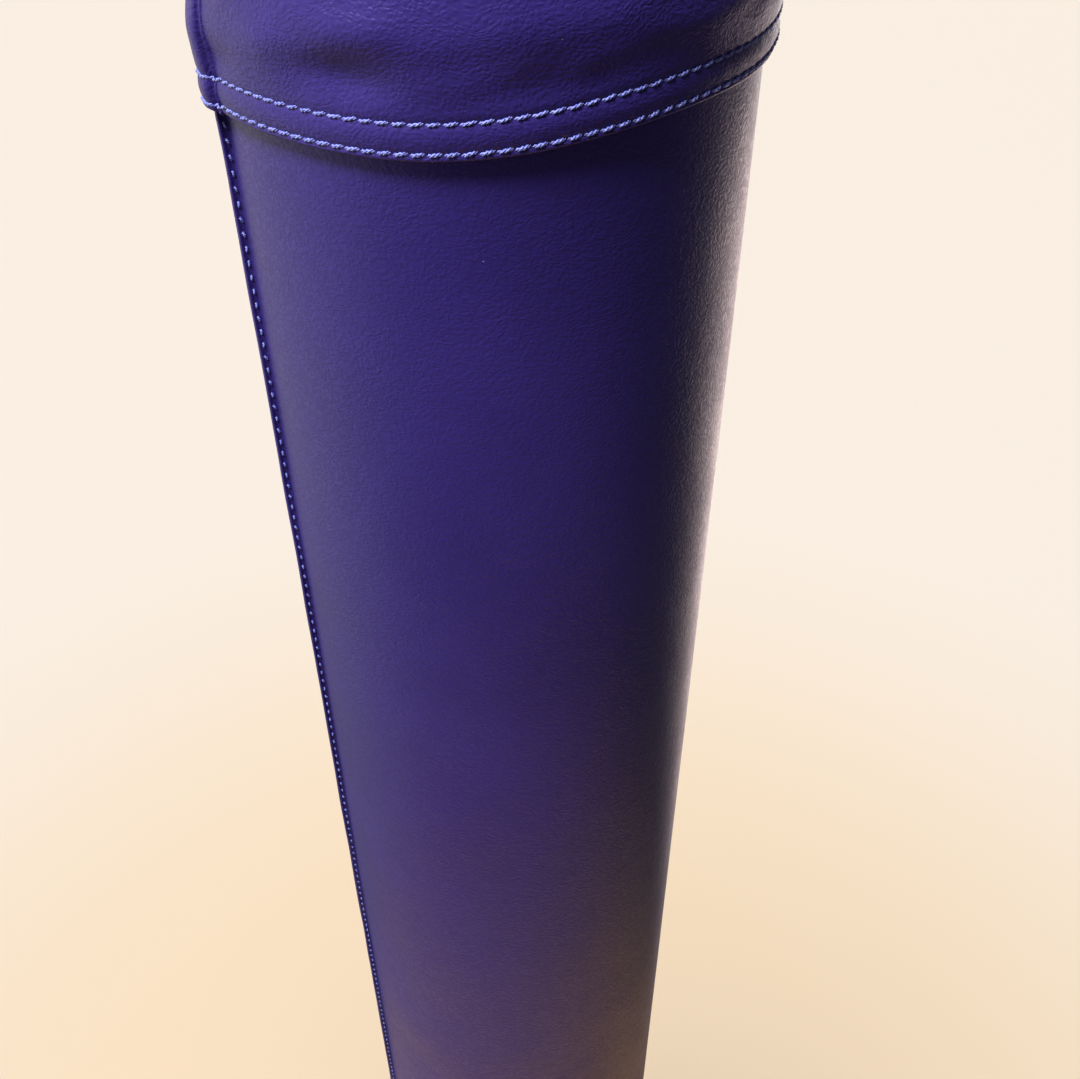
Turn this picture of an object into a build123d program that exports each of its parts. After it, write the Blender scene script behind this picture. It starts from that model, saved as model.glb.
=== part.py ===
from build123d import *
import math
import os

# Upright carry case for a telescope tube: a stiffened leatherette cylinder with a
# soft slip-on cap and a swinging handle on the back.
# Frame: +Z up, origin on the floor at the centre of the base, front towards -Y.
# All sizes are in millimetres.

# Body
body_radius = 75.0          # outside of the leatherette wrap
skin_wall = 1.0             # leatherette
board_wall = 2.0            # fibreboard stiffener
lining_wall = 1.5           # felt, and the facing above it
mouth_height = 1011.0       # top of the rim above the floor
facing_depth = 30.0         # leatherette band inside the rim
seam_angle = 201.0          # side seam, degrees from +X towards +Y
fin_height = 2.5            # two edges of the wrap sewn back to back
fin_wall = 2.2
fin_top_gap = 3.0           # the fin stops this far under the rim
fin_bottom_gap = 0.4        # and this far over the piping
fin_stitch_height = 1.25    # stitch row above the surface of the wrap

# Base
base_cover_wall = 1.0
bead_radius = 1.2           # piping round the base
bead_lift = 0.1             # piping over the floor
bead_gap = 0.05             # piping off the wrap
base_cover_inset = 0.4      # edge of the base cover inside the body radius
flange_wall = 0.6
flange_width = 5.0
base_board_wall = 3.0
base_pad_height = 12.0
base_felt_wall = 1.5

# Cap
cap_clearance = 0.35        # each side, over the body
cap_lining_wall = 0.65
cap_padding_wall = 1.0
cap_skin_wall = 1.0
cap_overlap = 36.0          # the hem under the rim, at the axis
hem_slant = 4.0             # degrees, lower on the seam side
hem_turn = 10.0             # depth of the folded hem
shoulder_radius = 24.0      # outside of the rounded shoulder
crown_rise = 6.0            # dome of the crown above the shoulder
crown_lap = 6.0             # the crown panel laps over the shoulder
crown_gap = 0.3             # crown lining over the rim
crown_felt_wall = 0.8
crown_board_wall = 2.5
crown_board_gap = 1.2       # board edge inside the body radius
ridge_clearance = 0.55      # each side of the fin
ridge_wall = 1.35
ridge_straight_gap = 6.0    # the ridge starts to bend in this far under the shoulder
ridge_end_reach = 8.0       # and ends this far outside the shoulder's centre
ridge_end_sink = 1.0        # just inside the shoulder

# Threads, as low bands along each stitch row
thread_width = 0.7
thread_rise = 0.35
lower_row = 1.7             # above the hem edge
row_spacing = 6.9
seam_row_margin = 2.0       # seam stitches start and stop inside the fin's ends
crown_row = 2.6             # in from the edge of the crown panel

# Handle
handle_height = 505.0       # middle of the handle above the floor
bracket_length = 46.0
bracket_width = 22.0
bracket_corner = 10.0
bracket_wall = 1.5
knuckle_length = 14.0
knuckle_width = 12.0
pivot_offset = 8.5          # pivot axis outside the body radius
rod_radius = 3.0
pivot_clearance = 0.08
rod_reach = 38.0            # grip axis outside the pivot axis
rod_bend = 9.0              # bend radius of the rod
pin_neck = 5.0              # straight pin past the knuckle before the bend
pin_end_play = 0.6          # between the knuckle and the peened end
head_radius = 4.4           # peened end of the pin
head_height = 1.6
grip_gap = 5.0              # straight rod between the grip and each bend
grip_length = 96.0
grip_width = 25.0           # across the hand
grip_depth = 18.0
grip_skin_wall = 1.2
grip_rounding = 3.0         # of the padding's ends
grip_row_margin = 8.0       # the grip's seam stops inside its ends
patch_width = 46.0
patch_margin = 14.0         # patch beyond the brackets
patch_corner = 12.0
patch_wall = 1.0
patch_row = 3.0             # stitch row in from the patch edge
rivet_spacing = 30.0        # two rivets on each bracket
rivet_shank = 2.0
rivet_head = 4.0
rivet_head_height = 1.6
burr_radius = 4.4
burr_wall = 0.8
burr_gap = 0.15             # flat burr inside the round board
burr_clearance = 0.3        # felt round each burr
rivet_head_round = 1.1
tail_radius = 2.8
tail_height = 0.35

big = 4000.0                # larger than the whole case

skin_inner = body_radius - skin_wall
board_inner = skin_inner - board_wall
bore_radius = board_inner - lining_wall
board_bottom = base_cover_wall + flange_wall
board_top = mouth_height - skin_wall
base_board_top = board_bottom + base_board_wall
base_pad_top = base_board_top + base_pad_height
base_felt_top = base_pad_top + base_felt_wall
facing_bottom = mouth_height - facing_depth

cap_inner = body_radius + cap_clearance
cap_lining_outer = cap_inner + cap_lining_wall
cap_padding_outer = cap_lining_outer + cap_padding_wall
cap_outer = cap_padding_outer + cap_skin_wall
hem_height = mouth_height - cap_overlap
shoulder_height = mouth_height
shoulder_centre = cap_outer - shoulder_radius
shoulder_top = shoulder_height + shoulder_radius
crown_edge = shoulder_centre + crown_lap
crown_felt_bottom = mouth_height + crown_gap
crown_felt_top = crown_felt_bottom + crown_felt_wall
crown_board_top = crown_felt_top + crown_board_wall
crown_board_radius = body_radius - crown_board_gap
groove_width = fin_wall + 2 * ridge_clearance
ridge_width = groove_width + 2 * ridge_wall
groove_radius = body_radius + fin_height + ridge_clearance
ridge_radius = groove_radius + ridge_wall

bead_height = bead_radius + bead_lift
bead_centre = body_radius + bead_radius + bead_gap
fin_bottom = bead_height + bead_radius + fin_bottom_gap
fin_top = mouth_height - fin_top_gap

pivot_y = body_radius + pivot_offset
grip_y = pivot_y + rod_reach
plate_inner = body_radius + patch_wall
plate_outer = plate_inner + bracket_wall
knuckle_end = knuckle_length / 2
bracket_spread = grip_length + 2 * (grip_gap + rod_bend * 2 + pin_neck + knuckle_end)
bracket_heights = [handle_height - bracket_spread / 2, handle_height + bracket_spread / 2]

os.makedirs("parts", exist_ok=True)


def tube(inner, outer, low, high):
    """Hollow cylinder on the axis."""
    wall = Cylinder(outer, high - low) - Cylinder(inner, high - low + 2)
    return Pos(0, 0, (low + high) / 2) * wall


def disc(radius, low, high):
    """Solid cylinder on the axis."""
    return Pos(0, 0, (low + high) / 2) * Cylinder(radius, high - low)


def seam_strip(inner, outer, width, low, high, sideways=0.0):
    """Box that stands out along the side seam, from one radius to another."""
    strip = Box(outer - inner, width, high - low)
    placed = Pos((inner + outer) / 2, sideways, (low + high) / 2) * strip
    return Rot(0, 0, seam_angle) * placed


def hem_slab(low, high):
    """Slanted slab between two heights above the hem, measured at the axis."""
    slab = Pos(0, 0, (low + high) / 2) * Box(big, big, high - low)
    return Pos(0, 0, hem_height) * Rot(0, -hem_slant, 0) * slab


def revolved(outline):
    """Turn a closed outline in the XZ plane about the axis."""
    return revolve(outline, Axis.Z, 360)


def write(node, shape):
    """One STEP file per node; the solids of a group stay separate."""
    solids = shape.solids()
    kept = solids[0] if len(solids) == 1 else Compound(children=list(solids))
    export_step(kept, f"parts/{node}.step")


# Case body ------------------------------------------------------------------

above_hem = hem_slab(0, big)

fin = seam_strip(skin_inner, body_radius + fin_height, fin_wall, fin_bottom, fin_top)
fin = fin - disc(skin_inner + skin_wall / 2, 0, mouth_height)
wrap = tube(skin_inner, body_radius, board_bottom, board_top)
turned_rim = tube(bore_radius, body_radius, board_top, mouth_height)

rivet_heights = [
    centre + side * rivet_spacing / 2 for centre in bracket_heights for side in (-1, 1)
]


def back_rod(radius, low, high, height):
    """Rod square to the back of the case, between two distances from the axis."""
    return Pos(0, (low + high) / 2, height) * Rot(90, 0, 0) * Cylinder(radius, high - low)


rivet_holes = [back_rod(rivet_shank, bore_radius / 2, big / 2, height) for height in rivet_heights]
burr_hole = burr_radius + burr_clearance
burr_holes = [back_rod(burr_hole, bore_radius / 2, body_radius, height) for height in rivet_heights]

body_skin = wrap + turned_rim + fin
body_board = tube(board_inner, skin_inner, board_bottom, board_top)
body_lining = tube(bore_radius, board_inner, base_felt_top, facing_bottom)
mouth_facing = tube(bore_radius, board_inner, facing_bottom, board_top)
write("body_skin", body_skin - rivet_holes)
write("body_board", body_board - rivet_holes)
write("body_lining", body_lining - burr_holes)
write("mouth_facing", mouth_facing)

seam_rows = [
    seam_strip(
        body_radius + fin_stitch_height - thread_width / 2,
        body_radius + fin_stitch_height + thread_width / 2,
        thread_rise,
        fin_bottom + seam_row_margin,
        fin_top - seam_row_margin,
        side * (fin_wall + thread_rise) / 2,
    )
    for side in (-1, 1)
]
write("side_seam_thread", Compound(children=seam_rows))

# Base -----------------------------------------------------------------------

bead = revolved(Plane.XZ * Pos(bead_centre, bead_height) * Circle(bead_radius))
flange = tube(body_radius - flange_width, bead_centre, base_cover_wall, board_bottom)
write("base_cover", disc(body_radius - base_cover_inset, 0, base_cover_wall))
write("base_piping", bead + flange)
write("base_board", disc(board_inner, board_bottom, base_board_top))
write("base_pad", disc(board_inner, base_board_top, base_pad_top))
write("base_lining", disc(board_inner, base_pad_top, base_felt_top))

# Cap ------------------------------------------------------------------------


def arc_point(radius, angle):
    """Point on an arc about the shoulder's centre, at degrees from upright."""
    turn = math.radians(angle)
    return (shoulder_centre + radius * math.sin(turn), shoulder_height + radius * math.cos(turn))


def dome_middle(lift):
    """Point halfway along the dome's outline, a lift above its lower face."""
    sphere = (shoulder_centre**2 + crown_rise**2) / (2 * crown_rise)
    half = shoulder_centre / 2
    return (half, shoulder_top + lift + crown_rise - sphere + math.sqrt(sphere**2 - half**2))


def shoulder_outline(outer, offset, low):
    """Outline of a thin wall that runs up the skirt and over the shoulder."""
    inner_arc = shoulder_radius - offset - cap_skin_wall
    outer_arc = shoulder_radius - offset
    with BuildSketch(Plane.XZ) as sketch:
        with BuildLine():
            Line((outer, low), (outer, shoulder_height))
            RadiusArc(
                (outer, shoulder_height),
                (shoulder_centre, shoulder_height + outer_arc),
                -outer_arc,
            )
            Line(
                (shoulder_centre, shoulder_height + outer_arc),
                (shoulder_centre, shoulder_height + inner_arc),
            )
            RadiusArc(
                (shoulder_centre, shoulder_height + inner_arc),
                (outer - cap_skin_wall, shoulder_height),
                inner_arc,
            )
            Line((outer - cap_skin_wall, shoulder_height), (outer - cap_skin_wall, low))
            Line((outer - cap_skin_wall, low), (outer, low))
        make_face()
    return sketch.sketch


skirt_low = hem_height - cap_outer
skirt = revolved(shoulder_outline(cap_outer, 0.0, skirt_low))
hem_layer = tube(cap_lining_outer, cap_padding_outer, skirt_low, shoulder_height) - hem_slab(hem_turn, big)

# The ridge runs up over the fin and dies into the shoulder.
with BuildSketch(Plane.XZ) as ridge_sketch:
    ridge_bend = shoulder_height - ridge_straight_gap
    ridge_foot = shoulder_centre + ridge_end_reach
    ridge_end = (ridge_foot, shoulder_top - ridge_end_sink)
    with BuildLine():
        Line((cap_padding_outer, skirt_low), (ridge_radius, skirt_low))
        Line((ridge_radius, skirt_low), (ridge_radius, ridge_bend))
        TangentArc((ridge_radius, ridge_bend), ridge_end, tangent=(0, 1))
        Line(ridge_end, (ridge_foot, shoulder_height))
        Line((ridge_foot, shoulder_height), (cap_padding_outer, shoulder_height))
        Line((cap_padding_outer, shoulder_height), (cap_padding_outer, skirt_low))
    make_face()
ridge_body = revolved(ridge_sketch.sketch) & seam_strip(0, big, ridge_width, 0, big)
inside_shoulder = revolved(
    Plane.XZ
    * make_face(
        Polyline((0, skirt_low), (cap_padding_outer, skirt_low), (cap_padding_outer, shoulder_height))
        + RadiusArc(
            (cap_padding_outer, shoulder_height),
            (shoulder_centre, shoulder_top - cap_skin_wall),
            -(shoulder_radius - cap_skin_wall),
        )
        + Polyline((shoulder_centre, shoulder_top - cap_skin_wall), (0, shoulder_top), (0, skirt_low))
    )
)
ridge = ridge_body - inside_shoulder
groove = seam_strip(0, groove_radius, groove_width, 0, mouth_height + crown_gap)
ridge_sides = seam_strip(0, big, ridge_width, 0, shoulder_height)

cap_skin = (skirt + hem_layer - ridge_sides) + (skirt & ridge_sides) + ridge
cap_skin = (cap_skin - groove) & above_hem
write("cap_skin", cap_skin)

cap_padding = tube(cap_lining_outer, cap_padding_outer, skirt_low, shoulder_height) & hem_slab(hem_turn, big)
write("cap_padding", cap_padding - ridge_sides)
cap_lining = tube(cap_inner, cap_lining_outer, skirt_low, shoulder_height) & above_hem
write("cap_lining", cap_lining - ridge_sides)

# Crown: a felt disc and a board over the rim, wadding, and a domed panel whose
# edge laps over the shoulder.
write("crown_lining", disc(body_radius + cap_clearance / 2, crown_felt_bottom, crown_felt_top))
write("crown_board", disc(crown_board_radius, crown_felt_top, crown_board_top))

lining_arc = shoulder_radius - cap_skin_wall
board_reach = shoulder_centre + math.sqrt(lining_arc**2 - (crown_board_top - shoulder_height) ** 2)
with BuildSketch(Plane.XZ) as wadding_sketch:
    with BuildLine():
        Polyline((0, shoulder_top + crown_rise), (0, crown_board_top), (board_reach, crown_board_top))
        RadiusArc(
            (board_reach, crown_board_top),
            (shoulder_centre, shoulder_height + lining_arc),
            -lining_arc,
        )
        Line((shoulder_centre, shoulder_height + lining_arc), (shoulder_centre, shoulder_top))
        ThreePointArc((shoulder_centre, shoulder_top), dome_middle(0), (0, shoulder_top + crown_rise))
    make_face()
write("crown_wadding", revolved(wadding_sketch.sketch))

lap_angle = math.degrees(math.asin(crown_lap / shoulder_radius))
panel_arc = shoulder_radius + cap_skin_wall
panel_top = shoulder_top + cap_skin_wall
with BuildSketch(Plane.XZ) as panel_sketch:
    with BuildLine():
        Line((0, shoulder_top + crown_rise), (0, panel_top + crown_rise))
        ThreePointArc((0, panel_top + crown_rise), dome_middle(cap_skin_wall), (shoulder_centre, panel_top))
        RadiusArc((shoulder_centre, panel_top), arc_point(panel_arc, lap_angle), panel_arc)
        Line(arc_point(panel_arc, lap_angle), arc_point(shoulder_radius, lap_angle))
        RadiusArc(arc_point(shoulder_radius, lap_angle), (shoulder_centre, shoulder_top), -shoulder_radius)
        ThreePointArc((shoulder_centre, shoulder_top), dome_middle(0), (0, shoulder_top + crown_rise))
    make_face()
write("crown_panel", revolved(panel_sketch.sketch))

# Stitch rows of the cap
band = tube(cap_outer, cap_outer + thread_rise, skirt_low, shoulder_height) - ridge_sides
for name, row in (("lower_hem_thread", lower_row), ("upper_hem_thread", lower_row + row_spacing)):
    write(name, band & hem_slab(row - thread_width / 2, row + thread_width / 2))
row_angle = math.degrees(math.asin((crown_lap - crown_row) / shoulder_radius))
crown_ring = Pos(*arc_point(panel_arc + thread_rise / 2, row_angle)) * Circle(thread_rise / 2)
write("crown_thread", revolved(Plane.XZ * crown_ring))

# Handle ---------------------------------------------------------------------


def back_prism(width, height, corner, middle):
    """Rounded upright block that stands out from the back of the case."""
    outline = Pos(0, middle) * RectangleRounded(width, height, corner)
    return extrude(Plane.XZ * outline, -big)


patch_height = bracket_spread + bracket_length + 2 * patch_margin
patch = tube(body_radius, plate_inner, 0, mouth_height)
patch = patch & back_prism(patch_width, patch_height, patch_corner, handle_height)
write("handle_patch", patch - rivet_holes)

row_outer = patch_row - thread_width / 2
row_inner = patch_row + thread_width / 2
patch_band = tube(plate_inner, plate_inner + thread_rise, 0, mouth_height)
patch_band = patch_band & back_prism(
    patch_width - 2 * row_outer, patch_height - 2 * row_outer, patch_corner - row_outer, handle_height
)
patch_band = patch_band - back_prism(
    patch_width - 2 * row_inner, patch_height - 2 * row_inner, patch_corner - row_inner, handle_height
)
write("patch_thread", patch_band)


def bracket(middle):
    """Curved plate with a knuckle bored along the case."""
    plate = tube(plate_inner, plate_outer, 0, mouth_height)
    plate = plate & back_prism(bracket_width, bracket_length, bracket_corner, middle)
    web_low = plate_outer - bracket_wall / 2
    web = Pos(0, (web_low + pivot_y) / 2, middle) * Box(knuckle_width, pivot_y - web_low, knuckle_length)
    barrel = Pos(0, pivot_y, middle) * Cylinder(knuckle_width / 2, knuckle_length)
    bore = Pos(0, pivot_y, middle) * Cylinder(rod_radius + pivot_clearance, knuckle_length + 2)
    return plate + web + barrel - bore - rivet_holes


write("lower_bracket", bracket(bracket_heights[0]))
write("upper_bracket", bracket(bracket_heights[1]))

burr_outer = board_inner - burr_gap
burr_inner = burr_outer - burr_wall
rivets = []
burrs = []
for height in rivet_heights:
    head = back_rod(rivet_head, plate_outer, plate_outer + rivet_head_height, height)
    head = fillet(head.edges().group_by(Axis.Y)[-1], rivet_head_round)
    shank = back_rod(rivet_shank, burr_inner, plate_outer, height)
    tail = back_rod(tail_radius, burr_inner - tail_height, burr_inner, height)
    rivets.append(head + shank + tail)
    burrs.append(back_rod(burr_radius, burr_inner, burr_outer, height) - shank)
write("rivets", Compound(children=rivets))
write("rivet_burrs", Compound(children=burrs))

# The rod is one length: a pin in each bracket and a straight run inside the grip.
pin_tip = knuckle_end + pin_end_play
corner_low = bracket_heights[0] + knuckle_end + pin_neck + rod_bend
corner_high = bracket_heights[1] - knuckle_end - pin_neck - rod_bend
with BuildLine(Plane.YZ) as rod_path:
    FilletPolyline(
        (pivot_y, bracket_heights[0] - pin_tip),
        (pivot_y, corner_low),
        (grip_y, corner_low),
        (grip_y, corner_high),
        (pivot_y, corner_high),
        (pivot_y, bracket_heights[1] + pin_tip),
        radius=rod_bend,
    )
rod_section = Plane(origin=(0, pivot_y, bracket_heights[0] - pin_tip)) * Circle(rod_radius)
rod = sweep(rod_section, path=rod_path.line)
for middle, side in ((bracket_heights[0], -1), (bracket_heights[1], 1)):
    head = Cylinder(head_radius, head_height)
    rod = rod + Pos(0, pivot_y, middle + side * (pin_tip + head_height / 2)) * head
write("handle_rod", rod)


def grip_form(inset, rounding):
    """Oval grip on the rod, made smaller by an inset."""
    oval = Ellipse(grip_width / 2 - inset, grip_depth / 2 - inset)
    form = extrude(oval, grip_length / 2 - inset, both=True)
    ends = form.edges().group_by(Axis.Z)
    return Pos(0, grip_y, handle_height) * fillet(ends[0] + ends[-1], rounding)


grip_bore = Pos(0, grip_y, handle_height) * Cylinder(rod_radius, grip_length + 2)
grip_core = grip_form(grip_skin_wall, grip_rounding)
write("grip_padding", grip_core - grip_bore)
write("grip_cover", grip_form(0, grip_rounding + grip_skin_wall) - grip_core - grip_bore)
seam_face = grip_y - grip_depth / 2
seam = Box(thread_width, thread_rise, grip_length - 2 * grip_row_margin)
write("grip_thread", Pos(0, seam_face - thread_rise / 2, handle_height) * seam)
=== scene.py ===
import bpy
import bmesh
import math
from mathutils import Matrix, Vector, noise


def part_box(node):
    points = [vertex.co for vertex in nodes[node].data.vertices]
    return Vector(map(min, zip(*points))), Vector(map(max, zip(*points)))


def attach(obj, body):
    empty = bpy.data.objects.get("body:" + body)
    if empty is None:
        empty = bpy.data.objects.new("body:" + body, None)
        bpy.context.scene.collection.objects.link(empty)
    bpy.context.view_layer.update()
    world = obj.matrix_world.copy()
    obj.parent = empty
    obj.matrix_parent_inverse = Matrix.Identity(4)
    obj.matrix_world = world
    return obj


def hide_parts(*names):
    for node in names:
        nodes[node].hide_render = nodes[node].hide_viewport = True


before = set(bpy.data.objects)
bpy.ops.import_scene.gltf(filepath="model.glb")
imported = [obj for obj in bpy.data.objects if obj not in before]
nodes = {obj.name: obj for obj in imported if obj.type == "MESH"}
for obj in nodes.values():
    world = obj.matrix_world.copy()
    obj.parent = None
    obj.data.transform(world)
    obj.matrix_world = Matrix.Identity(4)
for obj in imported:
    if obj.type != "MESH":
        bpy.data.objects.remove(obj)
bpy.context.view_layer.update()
print("frame loaded:", len(nodes), "nodes")

# sizes read from the frame, in metres
mm = 0.001
skinLow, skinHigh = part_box("body_skin")
capLow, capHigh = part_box("cap_skin")
hemLow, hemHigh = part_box("lower_hem_thread")
patchLow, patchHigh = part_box("handle_patch")
gripLow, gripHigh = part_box("grip_cover")
gripSeamLow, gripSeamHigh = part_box("grip_thread")
finLow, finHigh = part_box("side_seam_thread")
tubeRadius = skinHigh.y
rimHeight = skinHigh.z
skinBottom = skinLow.z
capRadius = capHigh.y
threadBand = 0.7 * mm
hemSlope = (hemHigh.z - hemLow.z - threadBand) / (hemHigh.x - hemLow.x)
hemHeight = capLow.z + hemSlope * capRadius
upperLow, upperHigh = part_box("upper_hem_thread")
rowHeights = [(low.z + high.z) / 2 - hemHeight for low, high in ((hemLow, hemHigh), (upperLow, upperHigh))]
seamMiddle = (finLow + finHigh) / 2
seamAngle = math.atan2(seamMiddle.y, seamMiddle.x)
finReach = 1.0 * mm


# small mesh helpers

def smoothStep(low, high, value):
    t = min(max((value - low) / (high - low), 0.0), 1.0)
    return t * t * (3 - 2 * t)


def wave(x, y, z, seed):
    return noise.noise(Vector((x, y, z + 17.3 * seed)))


def meshFrom(name, points, faces):
    mesh = bpy.data.meshes.new(name)
    mesh.from_pydata([tuple(p) for p in points], [], faces)
    bm = bmesh.new()
    bm.from_mesh(mesh)
    bmesh.ops.remove_doubles(bm, verts=bm.verts, dist=1e-6)
    bmesh.ops.dissolve_degenerate(bm, edges=bm.edges, dist=1e-7)
    bmesh.ops.recalc_face_normals(bm, faces=bm.faces)
    for face in bm.faces:
        face.smooth = True
    bm.to_mesh(mesh)
    bm.free()
    piece = bpy.data.objects.new(name, mesh)
    bpy.context.scene.collection.objects.link(piece)
    return piece


def loopGrid(name, rows, through=True):
    # rings of points joined into quads; through joins the last ring to the first
    count, width = len(rows), len(rows[0])
    points = [p for row in rows for p in row]
    faces = []
    for i in range(count if through else count - 1):
        for j in range(width):
            k, n = (i + 1) % count, (j + 1) % width
            faces.append((i * width + j, i * width + n, k * width + n, k * width + j))
    return meshFrom(name, points, faces)


def radial(angle):
    return Vector((math.cos(angle), math.sin(angle), 0))


def tangent(angle):
    return Vector((-math.sin(angle), math.cos(angle), 0))


# shader maths: a Value is one output socket, and sums of them make Math nodes

class Value:
    def __init__(self, finish, out):
        self.finish = finish
        self.out = out

    def join(self, kind, a, b):
        return self.finish.node("ShaderNodeMath", {"operation": kind}, {0: a, 1: b})

    def __add__(self, other):
        return self.join("ADD", self, other)

    def __radd__(self, other):
        return self.join("ADD", other, self)

    def __sub__(self, other):
        return self.join("SUBTRACT", self, other)

    def __rsub__(self, other):
        return self.join("SUBTRACT", other, self)

    def __mul__(self, other):
        return self.join("MULTIPLY", self, other)

    def __rmul__(self, other):
        return self.join("MULTIPLY", other, self)


class Finish:
    def __init__(self, name, world=None, **constants):
        self.material = world or bpy.data.materials.new(name)
        self.material.use_nodes = True
        self.tree = self.material.node_tree
        self.shader = self.tree.nodes["Background" if world else "Principled BSDF"]
        for key, value in constants.items():
            self.shader.inputs[key.replace("_", " ")].default_value = value

    def node(self, kind, settings=None, sockets=None, out=0):
        made = self.tree.nodes.new(kind)
        for key, value in (settings or {}).items():
            setattr(made, key, value)
        for key, value in (sockets or {}).items():
            self.put(made.inputs[key], value)
        return Value(self, made.outputs[out])

    def put(self, socket, value):
        if isinstance(value, Value):
            self.tree.links.new(value.out, socket)
        else:
            socket.default_value = value

    def feed(self, **values):
        for key, value in values.items():
            self.put(self.shader.inputs[key.replace("_", " ")], value)

    def place(self):
        return self.node("ShaderNodeTexCoord", out="Object")

    def noise(self, at, scale, detail=3.0, rough=0.55, colour=False):
        out = "Color" if colour else 0
        sockets = {"Vector": at, "Scale": scale, "Detail": detail, "Roughness": rough}
        return self.node("ShaderNodeTexNoise", sockets=sockets, out=out)

    def cells(self, at, scale):
        return self.node("ShaderNodeTexVoronoi", {"feature": "F1"}, {"Vector": at, "Scale": scale})

    def ridge(self, value):
        return self.node("ShaderNodeMath", {"operation": "ABSOLUTE"}, {0: value - 0.5})

    def steps(self, value, low, high, start=0.0, end=1.0):
        sockets = {0: value, 1: low, 2: high, 3: start, 4: end}
        return self.node("ShaderNodeMapRange", {"interpolation_type": "SMOOTHSTEP"}, sockets)

    def vectors(self, kind, a, b):
        return self.node("ShaderNodeVectorMath", {"operation": kind}, {0: a, 1: b})

    def mix(self, factor, a, b):
        return self.node("ShaderNodeMix", {"data_type": "RGBA"}, {0: factor, 6: a, 7: b}, out=2)

    def bump(self, height, strength, distance):
        return self.node("ShaderNodeBump", sockets={"Strength": strength, "Distance": distance, "Height": height})


# finishes

leatherette = {
    "colour": (0.027, 0.0165, 0.145, 1),
    # darker tone for random blotches; also used as painted shade in the crease grooves
    "dark": (0.020, 0.012, 0.108, 1),
    "dust": (0.30, 0.28, 0.36, 1),
    "gloss": (0.55, 0.48, 1.0, 1),
    "rough": 0.41,
    "pebble": 760.0,
    "crease": 360.0,
    "specks": 70.0,
}


def leatheretteFinish(name, depth, creases, pebbles=0.5, dull=0.0, fine=1.0):
    f = Finish(name, IOR=1.42, Specular_Tint=leatherette["gloss"])
    at = f.place()
    bend = f.vectors("SUBTRACT", f.noise(at, 75.0, 2.0, 0.5, colour=True), (0.5, 0.5, 0.5))
    jog = f.vectors("SUBTRACT", f.noise(at, 420.0, 1.0, 0.5, colour=True), (0.5, 0.5, 0.5))
    flow = f.vectors("ADD", at, f.vectors("MULTIPLY", bend, (0.008, 0.008, 0.006)))
    warped = f.vectors("ADD", flow, f.vectors("MULTIPLY", jog, (0.0012, 0.0012, 0.0012)))
    long = f.vectors("MULTIPLY", warped, (1.0, 1.0, 1.5))
    pebble = f.steps(f.cells(long, leatherette["pebble"]), 0.15, 0.75, 1.0, 0.0)
    crease = f.steps(f.ridge(f.noise(long, leatherette["crease"] * fine, 1.5)), 0.0, 0.15)
    fold = f.steps(f.ridge(f.noise(flow, leatherette["crease"] * 0.42, 1.0)), 0.0, 0.12)
    patch = f.steps(f.noise(at, 30.0, 2.0), 0.36, 0.62, 0.35, 1.0)
    height = pebble * pebbles + crease * patch * creases + fold * creases * 0.3 + f.noise(at, 60.0, 2.0) * 0.9
    f.feed(Normal=f.bump(height, 1.0, depth))
    tone = f.noise(at, 14.0, 3.0)
    speck = f.steps(f.cells(at, leatherette["specks"]), 0.008, 0.018, 1.0, 0.0)
    # base colour: random tone blotches towards the darker colour, plus painted shade that darkens the crease grooves
    toneAndCreaseShade = f.mix(f.steps(tone, 0.3, 0.7) * 0.6 + crease * 0.4, leatherette["dark"], leatherette["colour"])
    f.feed(Base_Color=f.mix(speck, toneAndCreaseShade, leatherette["dust"]))
    rough = f.steps(tone, 0.3, 0.75, leatherette["rough"] - 0.03 + dull, leatherette["rough"] + 0.05 + dull)
    f.feed(Roughness=rough + (1 - crease) * 0.07)
    return f.material


threadLook = {"light": (0.23, 0.27, 0.74, 1), "deep": (0.035, 0.04, 0.27, 1), "rough": 0.42}


def threadFinish():
    f = Finish("blueThread", Sheen_Weight=0.6, Sheen_Roughness=0.5, Sheen_Tint=(0.5, 0.55, 1.0, 1))
    at = f.place()
    lint = f.noise(at, 2600.0, 2.0)
    f.feed(Base_Color=f.mix(f.steps(lint, 0.3, 0.65), threadLook["deep"], threadLook["light"]))
    f.feed(Roughness=f.steps(lint, 0.2, 0.8, threadLook["rough"] - 0.1, threadLook["rough"] + 0.15))
    f.feed(Normal=f.bump(f.noise(at, 5200.0, 2.0), 0.5, 0.00006))
    return f.material


feltLook = {"light": (0.13, 0.13, 0.15, 1), "dark": (0.05, 0.05, 0.06, 1), "fuzz": 900.0, "blotch": 55.0}


def feltFinish():
    f = Finish("greyFelt", Sheen_Weight=0.5, Sheen_Roughness=0.5)
    at = f.place()
    fuzz = f.noise(at, feltLook["fuzz"], 6.0, 0.7)
    blotch = f.noise(at, feltLook["blotch"], 3.0)
    mixed = f.steps(fuzz * 0.6 + blotch * 0.4, 0.3, 0.7)
    f.feed(Base_Color=f.mix(mixed, feltLook["dark"], feltLook["light"]))
    f.feed(Roughness=f.steps(fuzz, 0.2, 0.8, 0.86, 0.98))
    f.feed(Normal=f.bump(fuzz, 0.7, 0.0006))
    return f.material


boardLook = {"light": (0.36, 0.25, 0.14, 1), "dark": (0.20, 0.12, 0.06, 1), "fibre": 700.0}


def boardFinish():
    f = Finish("fibreboard")
    at = f.place()
    fibres = f.noise(f.vectors("MULTIPLY", at, (1.0, 1.0, 0.25)), boardLook["fibre"], 5.0, 0.7)
    f.feed(Base_Color=f.mix(fibres, boardLook["dark"], boardLook["light"]))
    f.feed(Roughness=f.steps(fibres, 0.2, 0.8, 0.75, 0.95))
    f.feed(Normal=f.bump(fibres, 0.4, 0.0002))
    return f.material


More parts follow.
